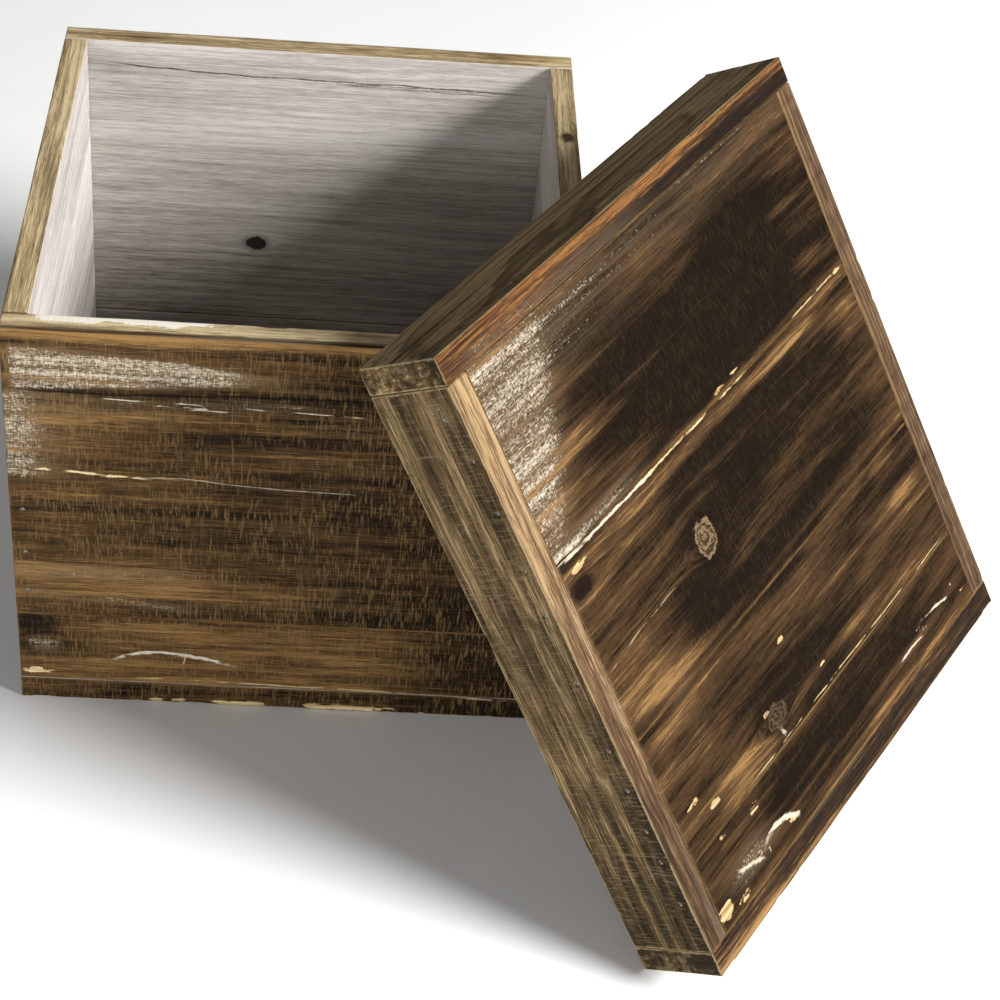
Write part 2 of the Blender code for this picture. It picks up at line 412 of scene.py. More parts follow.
FRONT_DASHES = ((-52, -40, 186.2), (-45, -29, 183.2), (-24, -13, 185.3), (-2, 16, 184.6),
                (-83, -66, 186.8), (20, 29, 183.8), (-60, -52, 184.5))
LINES = {
    "front": (
        Line("cream", ((-125, 145.8), (-108, 145), (-79, 143.2), (-62, 142)), 0.75, 1.0, 0.5, 0.2),
        Line("scar", ((-70, 142.8), (-49, 143.6), (-11, 140), (30, 139.2)), 0.35, 0.45, 0.4),
        Line("crack", ((-125, 190), (-80, 188.5), (-30, 191.5), (40, 193)), 0.7, 0.8, 0.6, 0.15),
        Line("crack", ((-120, 89.5), (-90, 89.5), (-46, 88), (10, 86)), 0.35, 0.7, 0.5),
        Line("scar", ((-83, 27), (-72, 31.8), (-61, 33.8), (-51, 33), (-39, 30.8), (-23, 26.2)),
             1.05, 1.0, 0.0, 0.35),
        Line("cream", ((-47.2, 34.8), (-47.8, 29.6), (-48.8, 26.2)), 0.4, 0.5),
        Line("crack", ((10, 73.5), (60, 71.5), (120, 69)), 0.35, 0.6, 0.5),
        Line("cream", ((-80, 16), (-30, 15.8), (50, 14), (118, 11)), 0.5, 0.55, 0.7),
        *(Line("scar", ((start, up), (end, up - 0.4)), 0.35, 0.8, 0.3) for start, end, up in FRONT_DASHES),
    ),
    "panel": (
        Line("scar", ((-130, 197.8), (-90, 197.6), (-50, 197.6)), 0.8, 0.9, 0.2),
        Line("cream", ((-74, 197.7), (-10, 198), (32, 198.2)), 0.55, 0.9, 0.4),
        Line("cream", ((75, 200), (100, 200.3), (129, 200.8)), 0.45, 0.7, 0.4),
        Line("crack", ((-129, 150), (-94, 151), (-55, 152.5)), 0.45, 1.0, 0.3, 0.2),
        Line("crack", ((-25, 157), (0, 159), (60, 162), (130, 169)), 0.45, 1.0, 0.3, 0.2),
        Line("crack", ((-130, 91), (-80, 86), (-20, 77), (60, 73)), 0.5, 0.7, 0.4),
        Line("cream", ((-130, 145.5), (-100, 149), (-70, 149.7)), 0.4, 0.35, 0.3),
        Line("cream", ((-85, 51.2), (-32, 52), (17, 52), (79, 51.5), (131, 51.2)), 0.4, 0.65, 0.4),
        Line("scar", ((80, 30), (94, 28.5), (109, 25.5)), 0.75, 0.9),
        Line("scar", ((54, 24), (66, 24.5), (78, 23.5)), 0.6, 0.8),
        Line("scar", ((-86, 25), (-74, 27), (-64, 24.5), (-56, 19)), 1.4, 0.9, 0.0, 0.25),
        Line("scar", ((-108, 27.5), (-98, 24.5), (-88, 20.5)), 1.0, 0.7),
        Line("scar", ((-48, 66), (-45, 59), (-42.5, 52.5)), 1.2, 0.9, 0.0, 0.4),
    ),
    "back_inside": (
        Line("crack", ((-113, 210), (-75, 208), (-35, 206.2), (11, 206), (57, 205.8), (112, 204.2)),
             0.5, 0.75, 0.7, 0.1),
        Line("crack", ((10, 204.5), (57, 203.6), (90, 203.2)), 0.35, 0.5, 0.6),
    ),
}
KNOTS = {
    "front": ((70, 120, 5, 3, 0.0),),
    "back": ((41, 142, 9, 7, 0.3),),
    "left": ((-52, 98, 8, 6, 0.2),),
    "right": ((31, 171, 7, 6, 0.6),),
    "back_inside": ((-29, 105, 5.2, 4.2, 0.0),),
    "side_rim": ((48, X_HIGH - 5, 3.4, 2.8, 0.5),),
    "panel": ((-40, 155, 8, 9, 1.0), (-122, 183.5, 6.5, 4, 0.0), (-44, 64, 9, 6.5, 0.4)),
}
# Each face's axes a and b, its place along the third axis, its finish, paint and seed
FACES = {
    "front": ("xz", Y_LOW, "scorched", paint_front, 11),
    "back": ("xz", Y_HIGH, "scorched", paint_scorched, 21),
    "left": ("yz", X_LOW, "scorched", paint_scorched, 31),
    "right": ("yz", X_HIGH, "scorched", paint_scorched, 41),
    "back_inside": ("xz", BACK_INNER, "pale", paint_inside_with_shade, 51),
    "front_inside": ("xz", Y_LOW + WALL, "pale", paint_inside_with_shade, 52),
    "left_inside": ("yz", X_LOW + WALL, "pale", paint_inside_with_shade, 53),
    "right_inside": ("yz", X_HIGH - WALL, "pale", paint_inside_with_shade, 54),
    "floor_inside": ("xy", 0, "pale", paint_plain, 55),
    "rim": ("xy", Z_HIGH, "rim", paint_rim, 61),
    "side_rim": ("yx", Z_HIGH, "rim", paint_rim, 62),
    "front_rim": ("xy", Z_HIGH, "rim", paint_front_rim, 63),
    "underside": ("xy", 0, "raw", paint_plain, 64),
    "panel": ("xy", LID_HEIGHT, "panel", paint_panel, 71),
    "panel_inside": ("xy", 0, "pale", paint_plain, 72),
    "lid_left": ("yz", -HALF_LID, "weathered", paint_left_rail, 73),
    "lid_right": ("yz", HALF_LID, "weathered", paint_rail, 74),
    "lid_top": ("xz", LID_LENGTH, "weathered", paint_top_rail_with_light, 75),
    "lid_foot": ("xz", 0, "weathered", paint_rail, 76),
    "left_strip": ("xy", LID_HEIGHT, "peach", paint_left_strip, 77),
    "top_strip": ("xy", LID_HEIGHT, "orange", paint_top_strip, 78),
    "right_strip": ("xy", LID_HEIGHT, "brown", paint_strip, 79),
    "foot_strip": ("xy", LID_HEIGHT, "dark_strip", paint_foot_strip, 80),
    "lid_rim": ("xy", 0, "raw", paint_strip, 81),
    "hidden": ("xy", 0, "raw", paint_plain, 82),
    "hidden_side": ("yz", 0, "raw", paint_plain, 83),
    "hidden_end": ("xz", 0, "raw", paint_plain, 84),
}
SURFACES = {name: Surface(*row, LINES.get(name, ()), KNOTS.get(name, ())) for name, row in FACES.items()}


# -------- materials


def srgb(red, green, blue):
    """A colour given as on a screen, 0 to 255, as the linear colour that a shader takes."""
    def linear(value):
        value /= 255.0
        return value / 12.92 if value <= 0.04045 else ((value + 0.055) / 1.055) ** 2.4
    return (linear(red), linear(green), linear(blue), 1.0)


class Graph:
    """One material's nodes, written as short calls that return their output sockets."""

    def __init__(self, name):
        self.material = bpy.data.materials.new(name)
        self.material.use_nodes = True
        self.tree = self.material.node_tree
        self.shader = self.tree.nodes["Principled BSDF"]

    def feed(self, socket, value):
        if isinstance(value, bpy.types.NodeSocket):
            self.tree.links.new(value, socket)
        else:
            socket.default_value = value

    def math(self, operation, a, b=0.0, clamp=False):
        node = self.tree.nodes.new("ShaderNodeMath")
        node.operation, node.use_clamp = operation, clamp
        self.feed(node.inputs[0], a)
        self.feed(node.inputs[1], b)
        return node.outputs[0]

    def add(self, first, *rest):
        for value in rest:
            first = self.math("ADD", first, value)
        return first

    def times(self, first, *rest):
        for value in rest:
            first = self.math("MULTIPLY", first, value)
        return first

    def attribute(self, name):
        node = self.tree.nodes.new("ShaderNodeAttribute")
        node.attribute_name = name
        return node.outputs["Vector"]

    def parts(self, vector):
        node = self.tree.nodes.new("ShaderNodeSeparateXYZ")
        self.feed(node.inputs[0], vector)
        return node.outputs[0], node.outputs[1], node.outputs[2]

    def noise(self, vector, frequency, detail=2.0, roughness=0.55):
        """Noise from 0 to 1 with about frequency features a metre along each axis."""
        scaled = self.tree.nodes.new("ShaderNodeVectorMath")
        scaled.operation = "MULTIPLY"
        self.feed(scaled.inputs[0], vector)
        scaled.inputs[1].default_value = frequency
        node = self.tree.nodes.new("ShaderNodeTexNoise")
        self.feed(node.inputs["Vector"], scaled.outputs[0])
        node.inputs["Scale"].default_value = 1.0
        node.inputs["Detail"].default_value = detail
        node.inputs["Roughness"].default_value = roughness
        return node.outputs["Fac"]

    def step(self, low, high, value):
        """0 at low, 1 at high, smoothly; low may be the greater."""
        node = self.tree.nodes.new("ShaderNodeMapRange")
        node.interpolation_type = "SMOOTHSTEP"
        self.feed(node.inputs["Value"], value)
        if isinstance(low, float) and isinstance(high, float) and low > high:
            ends, results = (high, low), (1.0, 0.0)
        else:
            ends, results = (low, high), (0.0, 1.0)
        self.feed(node.inputs["From Min"], ends[0])
        self.feed(node.inputs["From Max"], ends[1])
        node.inputs["To Min"].default_value = results[0]
        node.inputs["To Max"].default_value = results[1]
        return node.outputs["Result"]

    def mix(self, factor, a, b):
        node = self.tree.nodes.new("ShaderNodeMix")
        node.data_type = "RGBA"
        self.feed(node.inputs["Factor"], factor)
        self.feed(node.inputs[6], a)
        self.feed(node.inputs[7], b)
        return node.outputs[2]

    def centred(self, value, strength):
        """Noise around 0 instead of 0 to 1, times strength."""
        return self.math("MULTIPLY", self.math("SUBTRACT", value, 0.5), strength)

    def bump(self, height, strength, distance):
        node = self.tree.nodes.new("ShaderNodeBump")
        node.inputs["Strength"].default_value = strength
        node.inputs["Distance"].default_value = distance
        self.feed(node.inputs["Height"], height)
        self.feed(self.shader.inputs["Normal"], node.outputs[0])


def wood(name, light, dark, stain, char, chalk=(205, 196, 176), cream=(226, 205, 158), tick=(150, 122, 80),
         dust=(146, 124, 94), edge=(150, 120, 78), ring_pitch=4.0 * MM, rings=0.55, fibres=0.9, ticks=0.0,
         blotch=0.9, edge_wear=0.5, gloss=0.8, bump=0.6, cloudiness=0.6, pores=0.5, streaks=1.3, strands=1.4,
         grit=2.2, haze=0.55, shine=0.06):
    """Softwood with its rings and fibres, scorched and rubbed, as the mesh's painted values say.

    light and dark are the bare wood, stain and char its scorched colours, which also draw the painted shade
    and painted light that some surfaces put in the char mask, chalk and dust the whitewash and its thin
    film, cream the flaked wood, edge the worn arrises, and tick the fine rough-sawn marks across the grain.
    The plain numbers say how strong each effect is.
    """
    g = Graph(name)
    grain = g.attribute("grain")
    char_and_shading_mask, chalk_mask, cream_mask = g.parts(g.attribute("stain"))
    _, across, through = g.parts(grain)

    def grained(along, over, detail=2.0, roughness=0.55):
        """Noise with one frequency along the grain and another across it."""
        return g.noise(grain, (along, over, over), detail, roughness)

    # growth rings round a pith line under the board, bent by slow noise
    bend = g.centred(grained(5.0, 22.0, 2.0), 18 * MM)
    radius = g.math("SQRT", g.add(g.times(across, across), g.times(through, through)))
    ring = g.math("FRACT", g.math("DIVIDE", g.add(radius, bend), ring_pitch))
    late = g.times(g.math("POWER", ring, 2.5), g.step(1.0, 0.9, ring))
    fibre = grained(14.0, 700.0, 4.0, 0.7)
    fine = grained(75.0, 2300.0, 3.0, 0.75)
    pore = g.step(0.60, 0.70, grained(120.0, 1500.0, 2.0, 0.6))
    cloud = grained(9.0, 75.0, 3.0, 0.6)
    streak = grained(5.0, 260.0, 3.0, 0.65)

    tone = g.add(g.times(late, rings), g.centred(fibre, fibres), g.centred(fine, 0.5 * fibres), 0.25)
    colour = g.mix(g.math("ADD", tone, g.centred(cloud, cloudiness), True), srgb(*light), srgb(*dark))

    # how scorched, with the painted shade and painted light that some surfaces put in the char mask: the
    # painted char, broken up by patches, streaks, fibres and grit
    burn_and_shading = g.add(char_and_shading_mask, g.centred(cloud, blotch), g.centred(streak, streaks), g.centred(fibre, strands),
                 g.times(late, 0.18), g.centred(fine, grit))
    colour = g.mix(g.step(0.05, 0.50, burn_and_shading), colour, srgb(*stain))
    colour = g.mix(g.step(0.40, 1.05, burn_and_shading), colour, srgb(*char))
    colour = g.mix(g.times(pore, pores), colour, srgb(*char))

    # rough-sawn marks: short light ticks across the grain, and a few long ones
    sawn = grained(1400.0, 150.0, 2.0, 0.6)
    patch = grained(38.0, 70.0, 2.0, 0.5)
    long_marks = g.step(0.66, 0.74, grained(600.0, 16.0, 2.0, 0.5))
    tick_mask = g.math("MAXIMUM", g.times(g.step(0.48, 0.66, sawn), g.step(0.24, 0.58, patch)),
                       g.times(long_marks, g.step(0.35, 0.55, sawn)))
    if ticks:
        colour = g.mix(g.times(tick_mask, ticks), colour, srgb(*tick))

    # worn arrises: the middle of the three distances to the board's sides is how near an edge is
    a, b, c = g.parts(g.attribute("inset"))
    nearest = g.math("MAXIMUM", g.math("MINIMUM", a, b), g.math("MINIMUM", g.math("MAXIMUM", a, b), c))
    ragged = g.add(nearest, g.centred(grained(160.0, 400.0, 3.0), 2.2 * MM))
    if edge_wear:
        colour = g.mix(g.times(g.step(1.1 * MM, 0.1 * MM, ragged), edge_wear), colour, srgb(*edge))

    # whitewash that caught on the high spots, and bare flakes
    dash = grained(330.0, 1700.0, 3.0, 0.7)
    crumbs = grained(1500.0, 480.0, 2.0, 0.6)
    broken = g.add(g.times(dash, 0.6), g.times(crumbs, 0.4), g.centred(streak, 0.55),
                   g.times(tick_mask, 0.05))
    bar = g.math("SUBTRACT", 0.80, g.times(chalk_mask, 0.48))
    whitewash = g.times(g.step(bar, g.math("ADD", bar, 0.26), broken), g.step(0.02, 0.12, chalk_mask))
    film = g.times(chalk_mask, g.step(0.36, 0.62, fibre), haze)
    colour = g.mix(film, colour, srgb(*dust))
    colour = g.mix(g.times(whitewash, 0.9), colour, srgb(*chalk))
    flake = g.add(g.times(grained(160.0, 420.0, 4.0, 0.6), 0.7), g.times(streak, 0.3))
    bar = g.math("SUBTRACT", 0.86, g.times(cream_mask, 0.56))
    flaked = g.times(g.step(bar, g.math("ADD", bar, 0.05), flake), g.step(0.02, 0.12, cream_mask))
    colour = g.mix(flaked, colour, g.mix(g.step(0.35, 0.7, fibre), srgb(*cream), srgb(*light)))

    # single cracks, scars and worn lines
    ragged_line = g.centred(grained(240.0, 700.0, 3.0, 0.7), 2.6)
    breaks = grained(75.0, 160.0, 2.0)
    gaps = {"scar": g.step(0.28, 0.42, breaks), "crack": g.step(0.28, 0.42, streak),
            "cream": g.step(0.41, 0.52, breaks)}
    masks = {}
    for kind in MARK_KINDS:
        offset, strength, _ = g.parts(g.attribute(kind))
        reach = g.math("ADD", g.math("ABSOLUTE", offset), ragged_line)
        masks[kind] = g.times(g.step(1.15, 0.45, reach), strength, gaps[kind])
    colour = g.mix(masks["crack"], colour, srgb(22, 15, 10))
    colour = g.mix(masks["scar"], colour, srgb(*chalk))
    colour = g.mix(masks["cream"], colour, srgb(*cream))

    # knots: rings round a dark heart, in a darker halo
    knot_a, knot_b, knot_tone = g.parts(g.attribute("knot"))
    present = g.step(0.1, 0.4, knot_tone)
    light_knot = g.step(0.5, 1.5, knot_tone)
    out = g.math("SQRT", g.add(g.times(knot_a, knot_a), g.times(knot_b, knot_b)))
    out = g.add(out, g.centred(grained(260.0, 260.0, 4.0, 0.65), 1.1))
    halo = g.times(present, g.step(1.9, 0.9, out), 0.5)
    colour = g.mix(halo, colour, srgb(*char))
    knot_rings = g.step(-1.2, 0.9, g.math("SINE", g.add(g.times(out, 17.0), g.centred(fine, 9.0))))
    heart = g.mix(g.times(light_knot, knot_rings), srgb(26, 18, 12), srgb(112, 92, 68))
    inside = g.times(present, g.step(1.08, 0.92, out))
    colour = g.mix(g.times(inside, 0.92), colour, heart)

    g.feed(g.shader.inputs["Base Color"], colour)
    rough = g.add(gloss, g.centred(fibre, 0.25), g.times(whitewash, 0.12))
    g.feed(g.shader.inputs["Roughness"], g.math("MINIMUM", rough, 0.95))
    g.shader.inputs["Specular IOR Level"].default_value = shine
    height = g.add(g.times(fibre, 0.35), g.times(fine, 0.25), g.times(late, 0.25), g.times(tick_mask, 0.15),
                   g.times(whitewash, 0.30), g.times(masks["crack"], -1.4), g.times(masks["scar"], -0.6),
                   g.times(flaked, -0.35), g.times(inside, knot_rings, 0.4))
    g.bump(height, bump, 0.45 * MM)
    return g.material


def nail_steel():
    """Dark oxidised wire nail with a worn bright top."""
    g = Graph("nail_steel")
    place = g.attribute("grain")
    rust = g.noise(place, (900.0, 900.0, 900.0), 3.0, 0.6)
    colour = g.mix(g.step(0.44, 0.66, rust), srgb(150, 146, 140), srgb(52, 38, 28))
    g.feed(g.shader.inputs["Base Color"], colour)
    g.shader.inputs["Metallic"].default_value = 0.85
    g.feed(g.shader.inputs["Roughness"], g.add(0.35, g.times(rust, 0.4)))
    g.bump(rust, 0.4, 0.05 * MM)
    return g.material


FINISHES = {
    "scorched": wood(
        "scorched_board", (150, 116, 70), (100, 72, 42), (84, 62, 37), (27, 19, 12), ticks=0.62,
        tick=(122, 98, 62), edge=(112, 82, 48), edge_wear=0.45, blotch=0.8, streaks=0.85, strands=0.9,
        grit=1.9),
    "panel": wood(
        "scorched_panel", (134, 102, 63), (90, 65, 39), (64, 46, 29), (20, 14, 9), ticks=0.04,
        chalk=(188, 176, 156), cream=(190, 166, 122), dust=(126, 105, 80), haze=0.42, shine=0.02,
        gloss=0.85, blotch=1.0, streaks=1.0, strands=0.8, grit=1.3, fibres=0.7, edge=(98, 72, 44),
        edge_wear=0.35, ring_pitch=5.5 * MM),
    "weathered": wood(
        "weathered_rail", (172, 148, 108), (74, 58, 38), (88, 70, 46), (30, 23, 15), ticks=0.35,
        tick=(140, 122, 90), rings=0.8, fibres=2.8, edge=(168, 150, 114), edge_wear=0.75, streaks=2.4,
        ring_pitch=3.0 * MM),
    "rim": wood(
        "bare_rim", (206, 188, 148), (148, 126, 88), (140, 118, 82), (58, 40, 25),
        chalk=(226, 221, 208), rings=0.7, fibres=1.6, edge=(96, 70, 42), streaks=1.8,
        dust=(196, 184, 156)),
    "peach": wood(
        "peach_strip", (158, 133, 97), (120, 95, 66), (92, 69, 48), (46, 33, 23), rings=0.5,
        fibres=1.1, edge=(138, 112, 80), edge_wear=0.3, dust=(150, 138, 120), chalk=(178, 166, 148)),
    "orange": wood(
        "orange_strip", (128, 88, 48), (92, 58, 30), (62, 41, 25), (26, 18, 12), rings=0.7, fibres=1.3,
        edge=(112, 82, 50), edge_wear=0.3, dust=(112, 94, 74), chalk=(168, 156, 138)),
    "dark_strip": wood(
        "scorched_strip", (146, 112, 72), (90, 64, 38), (62, 44, 27), (27, 19, 12), rings=0.7,
        fibres=1.2, edge=(128, 98, 60), edge_wear=0.4),
    "brown": wood(
        "brown_strip", (112, 90, 66), (62, 46, 32), (66, 49, 34), (30, 22, 15), rings=1.2, fibres=1.6,
        ring_pitch=2.4 * MM, edge=(118, 98, 72), edge_wear=0.4),
    "pale": wood(
        "pale_inside", (214, 209, 204), (180, 173, 166), (176, 169, 162), (112, 105, 97), rings=0.12,
        cream=(170, 140, 98), fibres=0.9, edge_wear=0.0, blotch=0.4, gloss=0.85, bump=0.35,
        cloudiness=0.3, pores=0.25, streaks=0.7, strands=1.0, grit=1.6),
    "raw": wood(
        "sawn_wood", (190, 164, 116), (146, 114, 72), (122, 94, 58), (66, 46, 28), ticks=0.25,
        rings=0.8, edge_wear=0.2),
}
NAIL_STEEL = nail_steel()


# -------- boards

# Points nearer than WELD are one point. PITH_DEPTH is how far below a board its pith line is, and FAR_OFF
# is the offset, in half widths, where there is no mark.
WELD = 1e-7
PITH_DEPTH = 55 * MM
FAR_OFF = 9.0


def grid_lines(low, high, step, extra=()):
    """Mesh lines from low to high, a step apart in the middle and closer at both rounded edges."""
    lines = [low + e for e in EDGE_LINES] + [high - e for e in EDGE_LINES]
    start, end = low + EDGE_ZONE, high - EDGE_ZONE
    if end > start:
        lines += list(np.linspace(start, end, max(2, math.ceil((end - start) / step) + 1)))
    fixed = [e for e in extra if start < e < end]
    lines = [v for v in lines if all(abs(v - e) > CLEAR_OF_DENT for e in fixed)] + fixed
    lines = sorted(lines)
    kept = [lines[0]]
    for value in lines[1:]:
        if value - kept[-1] > LEAST_GAP:
            kept.append(value)
    kept[-1] = high
    return np.array(kept)


def side_grids(lines):
    """The points and outward quads of a box of mesh lines, side by side: -x, +x, -y, +y, -z, +z."""
    grids = []
    for axis, sign in itertools.product(range(3), (-1, 1)):
        u, v = (axis + 1) % 3, (axis + 2) % 3
        first, second = np.meshgrid(lines[u], lines[v], indexing="ij")
        points = np.empty((first.size, 3))
        points[:, u], points[:, v] = first.ravel(), second.ravel()
        points[:, axis] = lines[axis][0 if sign < 0 else -1]
        columns = len(lines[v])
        i, j = np.meshgrid(np.arange(len(lines[u]) - 1), np.arange(columns - 1), indexing="ij")
        corner = (i * columns + j).ravel()
        quads = np.stack((corner, corner + columns, corner + columns + 1, corner + 1), axis=1)
        grids.append((points, quads if sign > 0 else quads[:, ::-1]))
    return grids


def rounded(points, low, high, seed):
    """Points of a box moved onto worn, unevenly rounded edges, and the outward direction at each."""
    radius = EDGE_RADIUS * (1.0 + 0.45 * noise(points, (22 * MM,) * 3, seed))
    chips = 1 * MM * smooth(0.52, 0.85, noise(points, (7 * MM,) * 3, seed + 1))
    radius = np.minimum(radius + chips, LARGEST_RADIUS)[:, None]
    core = np.clip(points, low + radius, high - radius)
    offset = points - core
    outward = offset / np.linalg.norm(offset, axis=1)[:, None]
    return core + outward * radius, outward


def surface_values(surface, points):
    """What a surface's paint and marks give at each point: colour masks, relief, and the grain's swirl."""
    a, b = surface.coordinates(points)
    values = {"stain": np.stack(np.broadcast_arrays(*surface.paint(a, b, surface.seed)), axis=1)}
    relief = np.zeros(len(points))
    for kind in MARK_KINDS:
        offset, strength = np.full(len(points), FAR_OFF), np.zeros(len(points))
        nearest = np.full(len(points), np.inf)
        for line in (l for l in surface.lines if l.kind == kind):
            line_offset, line_strength, distance = line.measure(a, b)
            closer = distance < nearest
            nearest = np.where(closer, distance, nearest)
            offset = np.where(closer, line_offset, offset)
            strength = np.where(closer, line_strength, strength)
            relief -= line.depth * np.exp(-((distance / (line.half_width + 0.3)) ** 2)) * line_strength
        values[kind] = np.stack((offset, strength, np.zeros(len(points))), axis=1)
    values["knot"] = np.zeros((len(points), 3))
    swirl = np.zeros(len(points))
    nearest = np.full(len(points), np.inf)
    for centre_a, centre_b, radius_a, radius_b, tone in surface.knots:
        da, db = (a - centre_a) / radius_a, (b - centre_b) / radius_b
        distance = np.hypot(da, db)
        shade = (0.5 + tone) * smooth(3.6, 3.0, distance)
        closer = distance < nearest
        nearest = np.where(closer, distance, nearest)
        values["knot"] = np.where(closer[:, None], np.stack((da, db, shade), axis=1), values["knot"])
        size = min(radius_a, radius_b)
        swirl += 1.2 * size * np.sign(db) * np.exp(-distance / 1.6) * np.minimum(np.abs(db) * 3.0, 1.0)
        relief += 0.25 * np.exp(-((distance - 0.9) / 0.25) ** 2) - 0.30 * np.exp(-((distance / 0.5) ** 2))
    for nail in surface.nails:
        relief -= DENT_DEPTH * smooth(DENT_LIP, DENT_FLOOR, np.hypot(a - nail[0], b - nail[1]))
    return values, relief * MM, swirl * MM


def add_board(node, body, along, faces, fine=()):
    """Replaces a CAD board with a worn one.

    faces names its surfaces on -x, +x, -y, +y, -z and +z, and along is the axis that the grain runs on.
    fine holds (axis, low, high) stretches that get closer lines.
    """
    low, high = local_box(node, body)
    seed = sum(ord(letter) * (i + 3) for i, letter in enumerate(node)) % 997
    sides = [SURFACES[name] for name in faces.split()]
    extra = [[], [], []]
    for surface in sides:
        for nail in surface.nails:
            point = surface.point(nail)
            if np.all(point > low - 1 * MM) and np.all(point < high + 1 * MM):
                for axis in (surface.across.argmax(), surface.up.argmax()):
                    extra[axis] += [point[axis] + offset * MM for offset in DENT_LINES]
    for axis, start, end in fine:
        extra[axis] += list(np.arange(start, end, FINE_STEP))
    steps = [ALONG_STEP if axis == along else ACROSS_STEP for axis in range(3)]
    lines = [grid_lines(low[k], high[k], steps[k], sorted(extra[k])) for k in range(3)]

    grids = side_grids(lines)
    points = np.vstack([grid_points for grid_points, _ in grids])
    _, first, joined = np.unique(np.round(points / WELD).astype(np.int64), axis=0, return_index=True,
                                 return_inverse=True)
    joined = joined.ravel()
    middle, size = (low + high) / 2, high - low
    others = [axis for axis in range(3) if axis != along]
    wide = max(others, key=lambda axis: size[axis])
    thin = min(others, key=lambda axis: size[axis])
    drift = noise(np.array([[seed * 0.7, 0.2, 0.4]]), (1.0,) * 3, 3)[0]
    pith = np.array((seed * 0.37, 0.35 * drift * PITH_DEPTH, PITH_DEPTH))

    columns = {name: [] for name in ("grain", "stain", *MARK_KINDS, "knot", "inset")}
    reliefs, quads, materials = [], [], []
    finishes = sorted({surface.finish for surface in sides})
    start = 0
    for surface, (grid_points, grid_quads) in zip(sides, grids):
        values, relief, swirl = surface_values(surface, grid_points)
        values["grain"] = (grid_points - middle)[:, (along, wide, thin)] + pith
        values["grain"][:, 1] -= swirl
        values["inset"] = size / 2 - np.abs(grid_points - middle)
        corners = grid_quads.ravel()
        for name, column in columns.items():
            column.append(values[name][corners])
        reliefs.append(relief)
        quads.append(joined[grid_quads + start])
        materials += [finishes.index(surface.finish)] * len(grid_quads)
        start += len(grid_points)

    moved, outward = rounded(points[first], low, high, seed)
    flatness = np.abs(outward).max(axis=1) ** 6
    relief = np.concatenate(reliefs)[first]
    swell = 0.14 * MM * noise(moved, (45 * MM,) * 3, seed + 2)
    ridge_size = [70 * MM if axis == along else 5 * MM for axis in range(3)]
    ridges = 0.05 * MM * noise(moved, ridge_size, seed + 3)
    moved += outward * ((relief + swell + ridges) * flatness)[:, None]

    mesh = bpy.data.meshes.new(node + "_timber")
    mesh.from_pydata(moved.tolist(), [], np.vstack(quads).tolist())
    for name, column in columns.items():
        data = mesh.attributes.new(name, "FLOAT_VECTOR", "CORNER")
        data.data.foreach_set("vector", np.vstack(column).astype(np.float32).ravel())
    for finish in finishes:
        mesh.materials.append(FINISHES[finish])
    mesh.polygons.foreach_set("material_index", np.array(materials, np.int32))
    mesh.shade_smooth()
    piece = placed(node + "_timber", mesh, PLACES[body])
    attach(piece, body)
    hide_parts(node)


def box_boards():
    """The box's walls and floor."""
    walls = (
        ("front", 0, "left right front front_inside hidden", "front_rim"),
        ("back", 0, "left right back_inside back hidden", "rim"),
        ("left", 1, "left left_inside hidden_end hidden_end hidden", "side_rim"),
        ("right", 1, "right_inside right hidden_end hidden_end hidden", "side_rim"),
    )
    scar_stretch = (2, 24 * MM, 36 * MM)
    for wall, along, faces, rim in walls:
        fine = (scar_stretch,) if wall == "front" else ()
        add_board(f"{wall}_upper_board", "box", along, f"{faces} {rim}")
        add_board(f"{wall}_lower_board", "box", along, f"{faces} hidden", fine)
    count = sum("floor_board" in node for node in frame["nodes"])
    for number in range(1, count + 1):
        near = "front" if number == 1 else "hidden_end"
        far = "back" if number == count else "hidden_end"
        faces = f"left right {near} {far} underside floor_inside"
        add_board(f"floor_board_{number}", "box", 0, faces)


def lid_boards():
    """The lid's four rails and its planks."""
    rails = (
        ("left", 1, "lid_left hidden_side hidden_end hidden_end lid_rim left_strip"),
        ("right", 1, "hidden_side lid_right hidden_end hidden_end lid_rim right_strip"),
        ("top", 0, "lid_left lid_right hidden_end lid_top lid_rim top_strip"),
        ("foot", 0, "lid_left lid_right lid_foot hidden_end lid_rim foot_strip"),
    )
    for rail, along, faces in rails:
        add_board(f"lid_{rail}_rail", "lid", along, faces)
    faces = "hidden_side hidden_side hidden_end hidden_end panel_inside panel"
    for node in sorted(n for n in frame["nodes"] if n.startswith("lid_plank")):
        add_board(node, "lid", 0, faces)


# -------- nails


